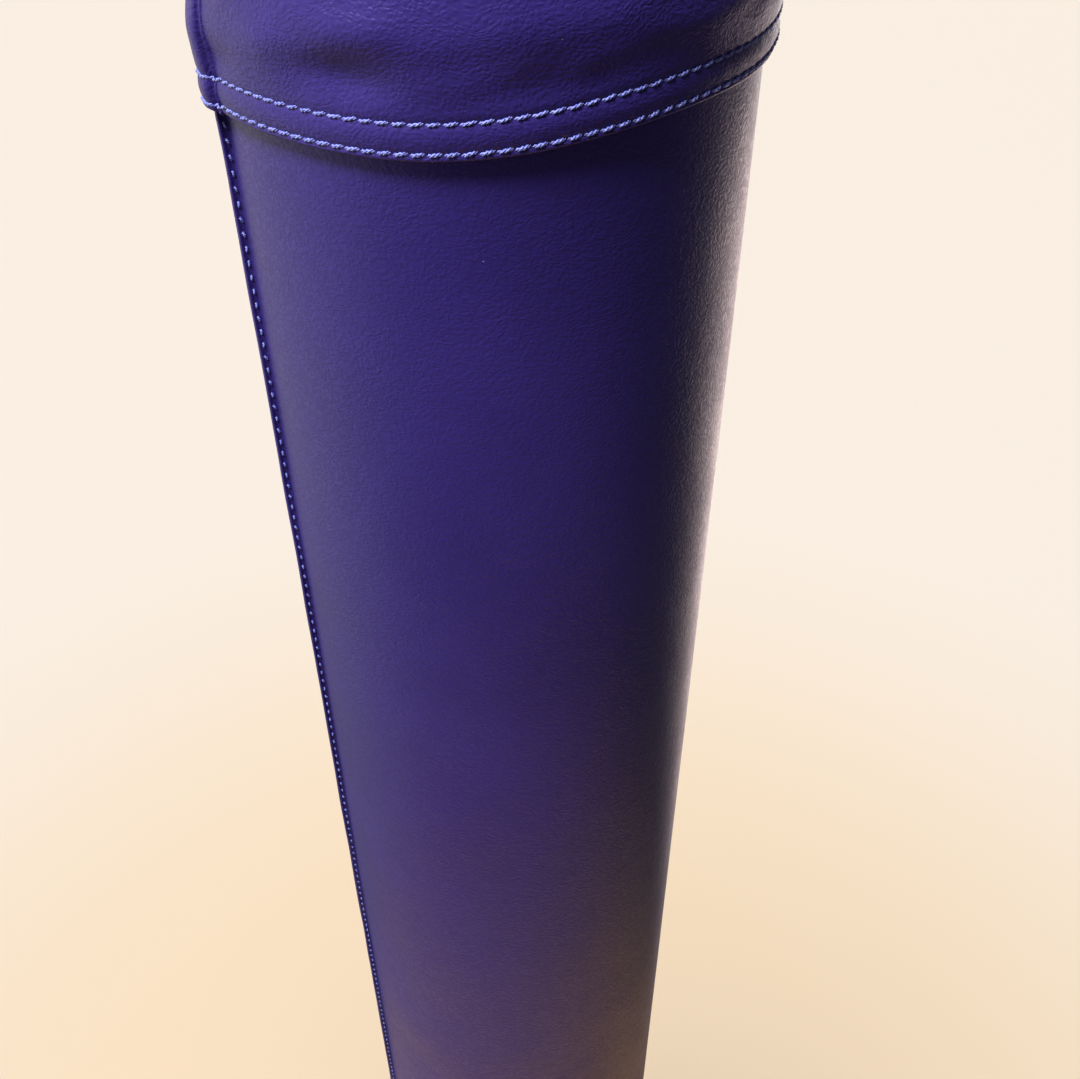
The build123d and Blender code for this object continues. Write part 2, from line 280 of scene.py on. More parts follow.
foamLook = {"light": (0.62, 0.58, 0.48, 1), "dark": (0.30, 0.28, 0.22, 1), "pore": 1100.0}


def foamFinish():
    f = Finish("foam")
    at = f.place()
    pores = f.cells(at, foamLook["pore"])
    # colour is darker at the pore pits: painted shade in the pores
    f.feed(Base_Color=f.mix(pores, foamLook["dark"], foamLook["light"]))
    f.feed(Roughness=f.steps(pores, 0.0, 1.0, 0.85, 0.95))
    f.feed(Normal=f.bump(pores, 0.6, 0.0004))
    return f.material


nickelLook = {"light": (0.52, 0.52, 0.51, 1), "dark": (0.36, 0.36, 0.36, 1), "scuff": 260.0, "cloud": 90.0}


def nickelFinish():
    f = Finish("nickelSteel")
    at = f.place()
    scuff = f.noise(f.vectors("MULTIPLY", at, (1.0, 1.0, 6.0)), nickelLook["scuff"], 4.0)
    cloud = f.noise(at, nickelLook["cloud"], 3.0)
    f.feed(Base_Color=f.mix(cloud, nickelLook["dark"], nickelLook["light"]))
    f.feed(Metallic=f.steps(cloud, 0.0, 0.3, 0.9, 1.0))
    f.feed(Roughness=f.steps(scuff, 0.3, 0.75, 0.16, 0.34))
    f.feed(Normal=f.bump(scuff, 0.25, 0.00006))
    return f.material


wrapLeather = leatheretteFinish("wrapLeatherette", 0.00009, 0.45)
capLeather = leatheretteFinish("capLeatherette", 0.00012, 0.42, 0.62, 0.03, 1.45)
trimLeather = leatheretteFinish("trimLeatherette", 0.00013, 0.6)
blueThread = threadFinish()
greyFelt = feltFinish()
fibreboard = boardFinish()
foam = foamFinish()
nickelSteel = nickelFinish()


def dress(names, material):
    for name in names:
        slots = nodes[name].data.materials
        slots.clear()
        slots.append(material)


dress(["mouth_facing", "base_cover", "base_piping"], trimLeather)
dress(["body_lining", "base_lining", "cap_lining", "crown_lining"], greyFelt)
dress(["body_board", "base_board", "crown_board"], fibreboard)
dress(["base_pad", "cap_padding", "crown_wadding", "grip_padding"], foam)
dress(["lower_bracket", "upper_bracket", "rivets", "rivet_burrs", "handle_rod"], nickelSteel)
print("finishes made")


def settle(piece, body, slotName, material, *replaced):
    piece.data.materials.clear()
    piece.data.materials.append(material)
    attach(piece, body)
    if replaced:
        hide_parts(*replaced)
    return piece


# the wrap: a long stiff tube whose two edges stand out as a sewn fin

wrap = {
    "columns": 400,
    "rows": 120,
    "wall": 1.0 * mm,
    "wobble": 0.10 * mm,
    "finHeight": 2.5 * mm,
    "flare": 0.5 * mm,
    "flareLength": 30 * mm,
}
# half of the fin's section in mm: along the surface, and out from it; the other edge mirrors it
finHalf = [
    (4.0, 0.0), (2.6, 0.0), (1.75, 0.02), (1.4, 0.09), (1.24, 0.22), (1.16, 0.45), (1.1, 0.75), (1.02, 1.0),
    (1.08, 1.5), (1.17, 1.85), (1.18, 2.15), (1.09, 2.38), (0.8, 2.5), (0.42, 2.5), (0.14, 2.42), (0.03, 2.1),
]
finPath = [(-t, n) for t, n in finHalf] + [(t, n * 0.985) for t, n in reversed(finHalf)]


def ringColumns(count, radius, path):
    # evenly spaced angles, with the path's points in place of the stretch that they span
    reach = (path[-1][0] - path[0][0]) * mm / 2 / radius
    start, sweep = seamAngle + reach, 2 * math.pi - 2 * reach
    columns = [(seamAngle, t * mm, n * mm) for t, n in path[1:-1]]
    for i in range(count + 1):
        columns.append((start + sweep * i / count, 0.0, 0.0))
    return columns


def wallWobble(angle, z):
    x, y = math.cos(angle), math.sin(angle)
    slow = wave(x * 1.6, y * 1.6, z * 9.0, 1)
    quick = wave(x * 4.0, y * 4.0, z * 26.0, 2)
    return wrap["wobble"] * (slow + 0.45 * quick)


def wrapPoint(column, depth, z, finShare):
    angle, t, n = column
    flare = wrap["flare"] * (1 - smoothStep(0.0, wrap["flareLength"], hemHeight + 4 * mm - z))
    flare *= 1 - smoothStep(0.0, 12 * mm, z - hemHeight)
    share = n / wrap["finHeight"]
    lean = share * 0.55 * mm * wave(0.3, 0.7, z * 32.0, 3) + share * 0.3 * mm * wave(0.1, 0.2, z * 90.0, 4)
    out = n + flare * share * share + share * 0.25 * mm * wave(0.9, 0.4, z * 40.0, 5)
    r = tubeRadius - depth + out * finShare + (wallWobble(angle, z) if depth < wrap["wall"] * 0.9 else 0.0)
    p = radial(angle) * r + tangent(angle) * (t + lean * finShare)
    return (p.x, p.y, z)


def buildWrap():
    columns = ringColumns(wrap["columns"], tubeRadius, finPath)
    finTop = finHigh.z + 2 * mm
    finBottom = finLow.z - 2 * mm
    heights = [skinBottom + (rimHeight - 0.9 * mm - skinBottom) * i / wrap["rows"] for i in range(wrap["rows"] + 1)]
    heights = sorted(heights + [finTop, finTop - 1.5 * mm, finTop - 3 * mm, finBottom, finBottom + 1.5 * mm])
    rows = []
    for z in heights:
        share = smoothStep(0.0, 2.5 * mm, finTop - z) * smoothStep(0.0, 2.5 * mm, z - finBottom + 1e-4)
        rows.append([wrapPoint(c, 0.0, z, share) for c in columns])
    lip = [(0.12, 0.45), (0.45, 0.12), (0.9, 0.0), (2.2, 0.05), (3.6, 0.0), (4.1, 0.12), (4.4, 0.45), (4.5, 0.95)]
    for depth, drop in lip + [(1.0, 1.0)]:
        rows.append([wrapPoint(c, depth * mm, rimHeight - drop * mm, 0.0) for c in columns])
    rows.append([wrapPoint(c, wrap["wall"], skinBottom, 0.0) for c in columns])
    return loopGrid("wrap", rows)


settle(buildWrap(), "case", "navy_leatherette", wrapLeather, "body_skin")
print("wrap made")


# the cap: a soft skirt with a turned hem, a ridge over the fin and a rounded shoulder

cap = {
    "columns": 430,
    "wall": 1.0 * mm,
    "shoulder": 24.0 * mm,
    "hemDepth": 10.0 * mm,
    "belly": 0.9 * mm,
    "tuck": 2.0 * mm,
    "rowPull": 0.40 * mm,
    "puff": 0.28 * mm,
    "waves": 0.6 * mm,
    "dentLimit": 0.85 * mm,
    "deepest": 1.65 * mm,
    "dentSoft": 0.5 * mm,
    "hemWave": 1.25 * mm,
    "hemWaves": 4,
    "hemDip": math.radians(264),
    "hemLift": 2.3 * mm,
    "liftAt": math.radians(-8),
    "liftReach": math.radians(22),
}
shoulderHeight = rimHeight
shoulderCentre = capRadius - cap["shoulder"]
# half of the ridge's section in mm, along the cap and out from it; the other half is wider and shifted
ridgeHalf = [
    (7.0, 0.0), (5.4, -0.05), (4.4, -0.2), (3.8, -0.45), (3.45, -0.62), (3.22, -0.45), (3.1, 0.0), (3.04, 0.5),
    (2.92, 1.05), (2.68, 1.55), (2.25, 1.98), (1.6, 2.28), (0.85, 2.43),
]
ridgeShift, ridgeWiden = 1.2, 1.55
ridgeRow = 3.15  # half of the ridge that its own stitches cross, in mm
ridgePath = [(-t, n) for t, n in ridgeHalf] + [(0.4, 2.49)]
ridgePath += [(t * ridgeWiden + ridgeShift, n) for t, n in reversed(ridgeHalf)]
# soft dents and swellings: angle in degrees from the front, height over the hem, size across, size up, depth
softSpots = [
    (-25, 17.5, 14, 4.6, -2.3), (-24, 28.0, 15, 5.0, 1.5), (-40, 23.0, 9, 6.0, 0.7), (6, 27.0, 20, 5.0, 0.9),
    (12, 14.0, 26, 3.5, -0.45), (40, 20.0, 15, 5.0, 0.5), (-58, 14.0, 9, 4.0, -0.7), (66, 14.0, 12, 4.0, 0.3),
    (-69, 34.0, 13, 9.0, -1.2), (120, 20.0, 16, 6.0, -0.8), (160, 16.0, 20, 5.0, 0.6), (205, 22.0, 18, 6.0, -0.7),
    (240, 18.0, 12, 5.0, 0.7),
]


def hemAt(angle):
    sway = cap["hemWave"] * (1 - math.cos(cap["hemWaves"] * (angle - cap["hemDip"])))
    off = (angle - cap["liftAt"] + math.pi) % (2 * math.pi) - math.pi
    sway += cap["hemLift"] * math.exp(-((off / cap["liftReach"]) ** 2))
    return hemHeight + hemSlope * capRadius * math.cos(angle) + sway


def capSwell(angle, over):
    # how far the vinyl stands off its plain shape, at a height over the hem
    h = over / mm
    pull = sum(math.exp(-(((over - row) / (0.85 * mm)) ** 2)) for row in rowHeights)
    between = math.exp(-(((h - 5.2) / 2.0) ** 2))
    belly = cap["belly"] * smoothStep(8, 20, h) - cap["tuck"] * smoothStep(22, 42, h)
    swell = belly - cap["rowPull"] * pull + cap["puff"] * between
    x, y = math.cos(angle), math.sin(angle)
    soft = smoothStep(8.6, 20, h)
    edge = 0.16 * mm * wave(x * 5, y * 5, 0.0, 6) + 0.08 * mm * wave(x * 14, y * 14, h * 0.1, 7)
    roll = wave(x * 2.4, y * 2.4, h * 0.075, 8) + 0.5 * wave(x * 6.5, y * 6.5, h * 0.16, 9)
    swell += edge + cap["waves"] * soft * roll
    front = math.degrees(angle) + 90
    for spot, height, across, up, depth in softSpots:
        away = ((front - spot + 180) % 360 - 180) * math.pi / 180 * capRadius / mm
        bell = math.exp(-((away / across) ** 2) - ((h - height) / up) ** 2)
        swell += depth * mm * bell
    # a deep dent bottoms out before it meets the inner side
    shallow = cap["dentSoft"] - cap["deepest"]
    if swell < shallow:
        swell = cap["dentSoft"] * math.exp((swell - shallow) / cap["dentSoft"]) - cap["deepest"]
    return swell


def capPoint(column, place, inside):
    angle, t, n = column
    kind, amount = place
    base = hemAt(angle)
    turn = 0.0
    if kind == "hem":
        over, r, z = amount, capRadius, base + amount
    elif kind == "skirt":
        over = cap["hemDepth"] + amount * (shoulderHeight - base - cap["hemDepth"])
        r, z = capRadius, base + over
    else:
        turn = amount
        over = shoulderHeight - base + cap["shoulder"] * turn
        r = shoulderCentre + cap["shoulder"] * math.cos(turn)
        z = shoulderHeight + cap["shoulder"] * math.sin(turn)
    fade = 1 - smoothStep(0.2, 1.25, turn)
    swell = capSwell(angle, over) * (1 - 0.8 * smoothStep(0.5, 1.3, turn))
    n *= 1 - 0.7 * smoothStep(12 * mm, 36 * mm, over)
    if inside:
        swell = max(swell, -cap["dentLimit"]) - inside
        n = min(n, 4.0 * mm) * 0.75 if n > 0 else 0.0
    push = swell + n * fade
    p = radial(angle) * (r + push * math.cos(turn)) + tangent(angle) * t * (1 - 0.6 * smoothStep(0.6, 1.5, turn))
    return (p.x, p.y, z + push * math.sin(turn))


def buildCap():
    columns = ringColumns(cap["columns"], capRadius, ridgePath)
    rows = []
    for inside, over in [(1.95, 1.0), (1.7, 0.35), (1.2, 0.02), (0.6, 0.0), (0.2, 0.2), (0.0, 0.65)]:
        rows.append([capPoint(c, ("hem", over * mm), inside * mm) for c in columns])
    for step in range(19):
        rows.append([capPoint(c, ("hem", (1.0 + 0.5 * step) * mm), 0.0) for c in columns])
    for step in range(1, 31):
        rows.append([capPoint(c, ("skirt", step / 30), 0.0) for c in columns])
    for step in range(1, 31):
        rows.append([capPoint(c, ("arc", math.pi / 2 * step / 30), 0.0) for c in columns])
    for step in range(12, -1, -1):
        rows.append([capPoint(c, ("arc", math.pi / 2 * step / 12), cap["wall"]) for c in columns])
    for step in range(7, 0, -1):
        rows.append([capPoint(c, ("skirt", step / 8), cap["wall"]) for c in columns])
    rows.append([capPoint(c, ("hem", cap["hemDepth"]), cap["wall"]) for c in columns])
    rows.append([capPoint(c, ("hem", cap["hemDepth"]), 1.95 * mm) for c in columns])
    return loopGrid("capSkirt", rows)


capSkirt = settle(buildCap(), "cap", "navy_leatherette", capLeather, "cap_skin", "cap_padding")


def buildLining():
    # felt inside the cap, cut to follow the hem
    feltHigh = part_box("cap_lining")[1]
    outer, inner = feltHigh.y, feltHigh.y - 0.6 * mm
    angles = [2 * math.pi * j / 240 for j in range(240)]
    rows = []
    for i in range(25):
        share = i / 24
        row = []
        for a in angles:
            low = hemAt(a) + 0.5 * mm
            p = radial(a) * (inner - 0.05 * mm * wave(math.cos(a) * 9, math.sin(a) * 9, share * 6, 41))
            row.append((p.x, p.y, low + (feltHigh.z - low) * share))
        rows.append(row)
    rows.append([tuple(radial(a) * outer + Vector((0, 0, feltHigh.z))) for a in angles])
    rows.append([tuple(radial(a) * outer + Vector((0, 0, hemAt(a) + 0.5 * mm))) for a in angles])
    return loopGrid("capLining", rows)


settle(buildLining(), "cap", "grey_felt", greyFelt, "cap_lining")
print("cap made")


# the crown: a domed panel that laps over the shoulder

crown = {"lap": 6.0 * mm, "wall": 1.0 * mm, "rise": 6.0 * mm, "columns": 240, "pucker": 0.22 * mm}


def crownPoint(angle, along, under):
    # along runs from 0 at the middle to 1 at the shoulder's centre and past it over the lap
    x, y = math.cos(angle), math.sin(angle)
    sphere = (shoulderCentre**2 + crown["rise"] ** 2) / (2 * crown["rise"])
    top = shoulderHeight + cap["shoulder"]
    lift = crown["wall"] * (0.0 if under else 1.0) + 0.25 * mm
    if along <= 1:
        r = shoulderCentre * along
        z = top + crown["rise"] - sphere + math.sqrt(sphere**2 - r * r) + lift
        turn = 0.0
    else:
        turn = (along - 1) * math.asin(crown["lap"] / cap["shoulder"])
        arc = cap["shoulder"] + lift
        r, z = shoulderCentre + arc * math.sin(turn), shoulderHeight + arc * math.cos(turn)
    soft = 0.55 * mm * wave(x * along * 2.2, y * along * 2.2, 0.0, 11) * smoothStep(0, 0.3, 1 - abs(along - 0.5))
    seam = math.exp(-(((along - 1.55) / 0.22) ** 2)) * -crown["pucker"]
    folds = crown["pucker"] * wave(x * 16, y * 16, along * 1.5, 12) * smoothStep(0.72, 1.0, along)
    p = radial(angle) * r
    return (p.x, p.y, z + (soft + seam + folds) * math.cos(turn))


def buildCrown():
    angles = [2 * math.pi * j / crown["columns"] for j in range(crown["columns"])]
    overs = [0.0] + [0.04 + 0.96 * i / 26 for i in range(27)] + [1 + i / 12 for i in range(1, 13)]
    rows = [[crownPoint(a, s, False) for a in angles] for s in overs]
    rows += [[crownPoint(a, s, True) for a in angles] for s in (2.0, 1.5, 1.0, 0.5, 0.0)]
    return loopGrid("crownPanel", rows, through=False)


crownPanel = settle(buildCrown(), "cap", "navy_leatherette", capLeather, "crown_panel", "crown_wadding")
print("crown made")


# handle grip: padded leatherette, sewn along its inner side

grip = {"rod": 3.0 * mm, "columns": 72, "rows": 70, "seam": 0.9 * mm, "taper": 0.10}
gripCentre = (gripLow + gripHigh) / 2
gripHalf = (gripHigh - gripLow) / 2


def buildGrip():
    rod = grip["rod"]
    rows = []
    for i in range(grip["rows"] + 1):
        s = -1 + 2 * i / grip["rows"]
        end = (1 - abs(s) ** 9) ** 0.5 if abs(s) < 1 else 0.0
        z = gripCentre.z + gripHalf.z * s
        row = []
        for j in range(grip["columns"]):
            a = 2 * math.pi * j / grip["columns"]
            x, y = math.cos(a), math.sin(a)
            seam = math.exp(-(((a - 1.5 * math.pi) / 0.10) ** 2)) * grip["seam"]
            belly = 1 - grip["taper"] * s * s
            soft = 0.22 * mm * wave(x * 2, y * 2, s * 5, 21) + 0.1 * mm * wave(x * 5, y * 5, s * 14, 22)
            rx = rod + (gripHalf.x * belly - rod) * end + soft * end
            ry = rod + (gripHalf.y * belly - rod) * end + soft * end - seam * end
            row.append((gripCentre.x + x * rx, gripCentre.y + y * ry, z))
        rows.append(row)
    return loopGrid("gripCover", rows, through=True)


gripCover = settle(buildGrip(), "handle", "navy_leatherette", trimLeather, "grip_cover", "grip_padding")
print("grip made")


# patch under the brackets: a rounded panel that follows the tube

patch = {"corner": 12 * mm, "row": 3.0 * mm}
patchMiddle = (patchLow.z + patchHigh.z) / 2
patchHalfHeight = (patchHigh.z - patchLow.z) / 2
patchHalfWidth = patchHigh.x
patchWall = patchHigh.y - tubeRadius


def roundedOutline(halfWidth, halfHeight, corner, count):
    # points spaced along a rounded rectangle, each with its direction outwards
    across, up = halfWidth - corner, halfHeight - corner
    arc = corner * math.pi / 2
    total = 4 * (across + up + arc)
    spans = []
    for quarter in range(4):
        spans += [("side", quarter), ("turn", quarter)]
    points = []
    for i in range(count):
        run = total * i / count
        for kind, quarter in spans:
            straight = 2 * (up if quarter % 2 == 0 else across)
            length = straight if kind == "side" else arc
            if run <= length or (kind, quarter) == spans[-1]:
                break
            run -= length
        base = quarter * math.pi / 2
        if kind == "side":
            half, reach = (up, across + corner) if quarter % 2 == 0 else (across, up + corner)
            local = Vector((reach, run - half))
            outward = Vector((1, 0))
        else:
            a = run / corner
            half, reach = (up, across) if quarter % 2 == 0 else (across, up)
            local = Vector((reach + corner * math.cos(a), half + corner * math.sin(a)))
            outward = Vector((math.cos(a), math.sin(a)))
        turn = Matrix.Rotation(base, 2)
        points.append((turn @ local, turn @ outward))
    return points


def onBack(x, z, out):
    # x is measured along the tube's surface, from the middle of the back
    a = math.pi / 2 - x / tubeRadius
    p = radial(a) * (tubeRadius + out)
    return Vector((p.x, p.y, z))


def buildPatch():
    outline = roundedOutline(patchHalfWidth, patchHalfHeight, patch["corner"], 300)
    middle = patchHalfWidth / mm
    step = outline[1][0].y - outline[0][0].y
    levels = [(middle, 0.02), (12, 0.02), (0, 0.02), (0, 0.5), (0.15, 0.82), (0.45, 1.0), (1.2, 1.08), (2.2, 1.04)]
    levels += [(2.7, 0.9), (3.0, 0.84), (3.3, 0.9), (3.9, 1.03), (5.5, 1.05), (8, 1.02), (12, 1.0), (17, 1.0)]
    levels += [(20, 1.0), (middle, 1.0)]
    rows = []
    for inset, rise in levels:
        row = []
        for flat, outward in outline:
            p = flat - outward * min(inset * mm, patch["corner"])
            deep = max(inset * mm - patch["corner"], 0)
            limitX = max(patchHalfWidth - patch["corner"] - deep, 0)
            limitZ = patchHalfHeight - patch["corner"] - deep
            if inset * mm > patch["corner"]:
                p = Vector((min(max(p.x, -limitX), limitX), min(max(p.y, -limitZ), limitZ)))
            if inset == middle:
                # both sides meet on one line
                p = Vector((0, round(p.y / step) * step))
            ripple = 0.05 * mm * wave(p.x * 90, p.y * 90, 0.0, 31) if rise > 0.5 else 0.0
            row.append(tuple(onBack(p.x, patchMiddle + p.y, rise * patchWall + ripple)))
        rows.append(row)
    return loopGrid("handlePatch", rows, through=False)


settle(buildPatch(), "case", "navy_leatherette", trimLeather, "handle_patch")
print("patch made")


# stitches, made by one tree of nodes: a two-ply thread set along a path

def groupInput(tree, name, kind, value=None):
    socket = tree.interface.new_socket(name=name, in_out="INPUT", socket_type=kind)
    if value is not None:
        socket.default_value = value
    return socket


def stitchTree():
    tree = bpy.data.node_groups.new("stitchRow", "GeometryNodeTree")
    groupInput(tree, "Path", "NodeSocketGeometry")
    groupInput(tree, "Pitch", "NodeSocketFloat", 0.004)
    groupInput(tree, "Length", "NodeSocketFloat", 0.0036)
    groupInput(tree, "Thread", "NodeSocketFloat", 0.0003)
    groupInput(tree, "Slant", "NodeSocketFloat", 0.12)
    groupInput(tree, "Loose", "NodeSocketFloat", 0.05)
    groupInput(tree, "Seed", "NodeSocketInt", 1)
    groupInput(tree, "Finish", "NodeSocketMaterial")
    tree.interface.new_socket(name="Stitches", in_out="OUTPUT", socket_type="NodeSocketGeometry")

    def add(kind, settings=None, **sockets):
        made = tree.nodes.new(kind)
        for key, value in (settings or {}).items():
            setattr(made, key, value)
        for key, value in sockets.items():
            socket = made.inputs[int(key[1:])] if key[0] == "i" and key[1:].isdigit() else made.inputs[key]
            if isinstance(value, bpy.types.NodeSocket):
                tree.links.new(value, socket)
            else:
                socket.default_value = value
        return made

    def maths(kind, a, b=0.0):
        return add("ShaderNodeMath", {"operation": kind}, i0=a, i1=b).outputs[0]

    given = add("NodeGroupInput").outputs
    up = add("GeometryNodeInputNamedAttribute", {"data_type": "FLOAT_VECTOR"}, Name="up").outputs["Attribute"]
    curve = add("GeometryNodeMeshToCurve", Mesh=given["Path"]).outputs[0]
    spaced = add("GeometryNodeResampleCurve", {"mode": "LENGTH"}, Curve=curve, Length=given["Pitch"]).outputs[0]
    along = add("GeometryNodeInputTangent").outputs[0]
    first = add("FunctionNodeAlignRotationToVector", {"axis": "X"}, Vector=along).outputs[0]
    upright = {"axis": "Z", "pivot_axis": "X"}
    facing = add("FunctionNodeAlignRotationToVector", upright, Rotation=first, Vector=up).outputs[0]
    jitter = add("FunctionNodeRandomValue", Seed=given["Seed"])
    loose = maths("MULTIPLY", maths("SUBTRACT", jitter.outputs[1], 0.5), maths("MULTIPLY", given["Loose"], 2.0))
    angle = maths("ADD", given["Slant"], loose)
    twist = add("FunctionNodeAxisAngleToRotation", Axis=(0.0, 0.0, 1.0), Angle=angle).outputs[0]
    turned = add("FunctionNodeRotateRotation", {"rotation_space": "LOCAL"}, Rotation=facing)
    tree.links.new(twist, turned.inputs[1])

    plies = add("GeometryNodeJoinGeometry")
    for phase in (0.0, math.pi):
        helix = add("GeometryNodeCurveSpiral", Resolution=4, Rotations=1.5, Height=given["Length"])
        tree.links.new(maths("MULTIPLY", given["Thread"], 0.52), helix.inputs["Start Radius"])
        tree.links.new(maths("MULTIPLY", given["Thread"], 0.52), helix.inputs["End Radius"])
        spun = add("GeometryNodeTransform", Geometry=helix.outputs[0], Rotation=(0.0, 0.0, phase)).outputs[0]
        half = maths("MULTIPLY", given["Length"], -0.5)
        drop = add("ShaderNodeCombineXYZ", X=0.0, Y=0.0, Z=half).outputs[0]
        centred = add("GeometryNodeTransform", Geometry=spun, Translation=drop).outputs[0]
        laid = add("GeometryNodeTransform", Geometry=centred, Rotation=(0.0, math.pi / 2, 0.0)).outputs[0]
        ring = add("GeometryNodeCurvePrimitiveCircle", Resolution=4)
        tree.links.new(maths("MULTIPLY", given["Thread"], 0.62), ring.inputs["Radius"])
        ply = add("GeometryNodeCurveToMesh", Curve=laid, **{"Profile Curve": ring.outputs[0], "Fill Caps": True})
        tree.links.new(ply.outputs[0], plies.inputs[0])
    place = add("GeometryNodeInputPosition").outputs[0]
    parts = add("ShaderNodeSeparateXYZ", Vector=place)
    reach = maths("DIVIDE", parts.outputs[0], maths("MULTIPLY", given["Length"], 0.5))
    sink = maths("MULTIPLY", maths("POWER", maths("ABSOLUTE", reach), 3.0), maths("MULTIPLY", given["Thread"], -1.6))
    lower = add("ShaderNodeCombineXYZ", X=0.0, Y=0.0, Z=sink).outputs[0]
    bowed = add("GeometryNodeSetPosition", Geometry=plies.outputs[0], Offset=lower).outputs[0]

    size = add("FunctionNodeRandomValue", Seed=maths("ADD", given["Seed"], 5.0))
    grow = maths("ADD", 0.93, maths("MULTIPLY", size.outputs[1], 0.14))
    scale = add("ShaderNodeCombineXYZ", X=grow, Y=1.0, Z=1.0).outputs[0]
    placed = add("GeometryNodeInstanceOnPoints", Points=spaced, Instance=bowed, Scale=scale)
    tree.links.new(turned.outputs[0], placed.inputs["Rotation"])
    real = add("GeometryNodeRealizeInstances", Geometry=placed.outputs[0]).outputs[0]
    painted = add("GeometryNodeSetMaterial", Geometry=real, Material=given["Finish"]).outputs[0]
    add("NodeGroupOutput", Stitches=painted)
    return tree


stitchNodes = stitchTree()
stitchSockets = {item.name: item.identifier for item in stitchNodes.interface.items_tree}


def stitchRow(name, paths, closed, body, replaced, **inputs):
    # paths are lists of (point, up); every path becomes one run of stitches
    points, ups, edges = [], [], []
    for path in paths:
        start = len(points)
        points += [tuple(p) for p, u in path]
        ups += [tuple(u) for p, u in path]
        edges += [(start + i, start + i + 1) for i in range(len(path) - 1)]
        if closed:
            edges.append((start + len(path) - 1, start))
    mesh = bpy.data.meshes.new(name + "Path")
    mesh.from_pydata(points, edges, [])
    facing = mesh.attributes.new("up", "FLOAT_VECTOR", "POINT")
    facing.data.foreach_set("vector", [v for u in ups for v in u])
    carrier = bpy.data.objects.new(name + "Path", mesh)
    bpy.context.scene.collection.objects.link(carrier)
    modifier = carrier.modifiers.new("stitches", "NODES")
    modifier.node_group = stitchNodes
    for key, value in inputs.items():
        modifier[stitchSockets[key]] = value
    modifier[stitchSockets["Finish"]] = blueThread
    graph = bpy.context.evaluated_depsgraph_get()
    made = bpy.data.meshes.new_from_object(carrier.evaluated_get(graph))
    made.name = name
    bpy.data.objects.remove(carrier)
    piece = bpy.data.objects.new(name, made)
    bpy.context.scene.collection.objects.link(piece)
    for polygon in made.polygons:
        polygon.use_smooth = True
    settle(piece, body, "blue_thread", blueThread, *replaced)
    return piece


def hemPath(row, lift, onRidge):
    # follows the swollen surface along a row, either over the ridge or round the rest
    path = []
    for column in ringColumns(cap["columns"], capRadius, ridgePath):
        across = column[1] / mm
        inRidge = -ridgeRow < across < ridgeRow * ridgeWiden + ridgeShift and column[1:] != (0.0, 0.0)
        if onRidge != inRidge:
            continue
        p = Vector(capPoint(column, ("hem", row), 0.0))
        angle = column[0]
        if onRidge:
            rise = smoothStep(0.5, 2.4, column[2] / mm)
            side = math.copysign(1 - rise, column[1])
            up = (radial(angle) * (0.35 + rise) + tangent(angle) * side * 0.9).normalized()
        else:
            up = radial(angle)
        path.append((p + up * lift, up))
    return path


hemThread = {"Pitch": 4.05 * mm, "Length": 3.9 * mm, "Thread": 0.42 * mm, "Slant": 0.16, "Loose": 0.06}
bightThread = {**hemThread, "Pitch": 3.0 * mm, "Length": 3.5 * mm, "Slant": 0.05}
for name, row, thread, seed in (("lower", rowHeights[0], 0.48 * mm, 3), ("upper", rowHeights[1], 0.42 * mm, 8)):
    around = hemPath(row, 0.30 * mm, False)
    around = around[2:] + around[:2]
    stitchRow(name + "HemStitches", [around], False, "cap", [name + "_hem_thread"],
              Seed=seed, **{**hemThread, "Thread": thread})
    stitchRow(name + "RidgeStitches", [hemPath(row, 0.26 * mm, True)], False, "cap", [],
              Seed=seed + 1, **{**bightThread, "Thread": thread})

seamThread = {"Pitch": 4.4 * mm, "Length": 2.0 * mm, "Thread": 0.40 * mm, "Slant": 0.25, "Loose": 0.25}


def seamPath(side):
    path = []
    for i in range(400):
        z = finLow.z + (finHigh.z - finLow.z) * i / 399
        p = Vector(wrapPoint((seamAngle, side * 1.04 * mm, finReach), 0.0, z, 1.0))
        up = tangent(seamAngle) * side
        path.append((p + up * 0.22 * mm, up))
    return path


stitchRow("sideSeamStitches", [seamPath(-1), seamPath(1)], False, "case", ["side_seam_thread"],
          Seed=5, **seamThread)


def crownPath():
    path = []
    for j in range(crown["columns"]):
        a = 2 * math.pi * j / crown["columns"]
        p = Vector(crownPoint(a, 1.55, False))
        up = (radial(a) * 0.15 + Vector((0, 0, 1))).normalized()
        path.append((p + up * 0.25 * mm, up))
    return path


stitchRow("crownStitches", [crownPath()], True, "cap", ["crown_thread"],
          Seed=11, **{**hemThread, "Thread": 0.38 * mm})


def patchPath():
    path = []
    for flat, outward in roundedOutline(patchHalfWidth, patchHalfHeight, patch["corner"], 420):
        p = flat - outward * patch["row"]
        a = math.pi / 2 - p.x / tubeRadius
        path.append((onBack(p.x, patchMiddle + p.y, patchWall * 0.84 + 0.22 * mm), radial(a)))
    return path


stitchRow("patchStitches", [patchPath()], True, "case", ["patch_thread"],
          Seed=13, **{**hemThread, "Thread": 0.36 * mm, "Length": 3.3 * mm})


def gripPath():
    path = []
    for i in range(60):
        z = gripSeamLow.z + (gripSeamHigh.z - gripSeamLow.z) * i / 59
        path.append((Vector((0, gripLow.y + 0.35 * mm, z)), Vector((0, -1, 0))))
    return path


stitchRow("gripStitches", [gripPath()], False, "handle", ["grip_thread"],
          Seed=17, **{**hemThread, "Thread": 0.34 * mm, "Length": 3.2 * mm})
print("stitches made")


# floor, light and camera

stage = {"reach": 60.0, "near": (0.90, 0.76, 0.58, 1), "far": (0.90, 0.86, 0.82, 1), "nearTo": 0.35, "farFrom": 1.1}


